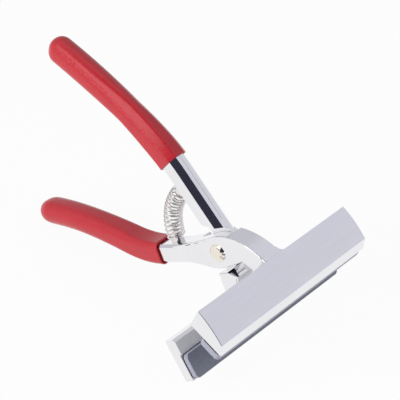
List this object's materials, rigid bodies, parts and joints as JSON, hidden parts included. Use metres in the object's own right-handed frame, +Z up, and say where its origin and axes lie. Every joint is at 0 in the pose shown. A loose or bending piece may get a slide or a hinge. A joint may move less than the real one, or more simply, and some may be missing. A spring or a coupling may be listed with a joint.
{
  "type": "canvas pliers",
  "caption": "Wide-jaw canvas pliers with padded jaws, a fulcrum lug, dipped vinyl grips and a bowed return spring that holds the handles open.",
  "frame": {"origin": "bottom centre of the bounding box, at the level of the fulcrum foot and the lower handle's tip, with the pliers sprung open", "axes": "+X along the jaws, +Y from the jaws towards the handles, +Z up"},
  "size_m": [0.12, 0.1982, 0.1352],
  "materials": {
    "chromed_casting": "polished, with the upper jaw's top face brushed",
    "grip_vinyl": "gloss",
    "pad_rubber": "smooth matte",
    "rivet_nickel": "satin",
    "spring_steel": "bright drawn wire",
    "peg_steel": "bright"
  },
  "bodies": {
    "upper_jaw_body": {"upper_jaw_lever": "chromed_casting", "lower_handle_grip": "grip_vinyl", "upper_jaw_pad": "pad_rubber", "pivot_rivet": "rivet_nickel", "lower_spring_peg": "peg_steel", "return_spring": "spring_steel"},
    "lower_jaw_body": {"lower_jaw_lever": "chromed_casting", "upper_handle_grip": "grip_vinyl", "lower_jaw_pad": "pad_rubber", "upper_spring_peg": "peg_steel"}
  },
  "joints": [
    {"name": "jaw_pivot", "type": "hinge", "parent": "upper_jaw_body", "child": "lower_jaw_body", "pos_m": [0, -0.04942, 0.04747], "axis": [1, 0, 0], "range_deg": [-28, 0], "stiffness_Nm_per_rad": 1, "springref_deg": 34.38, "deforming": ["return_spring"]}
  ]
}
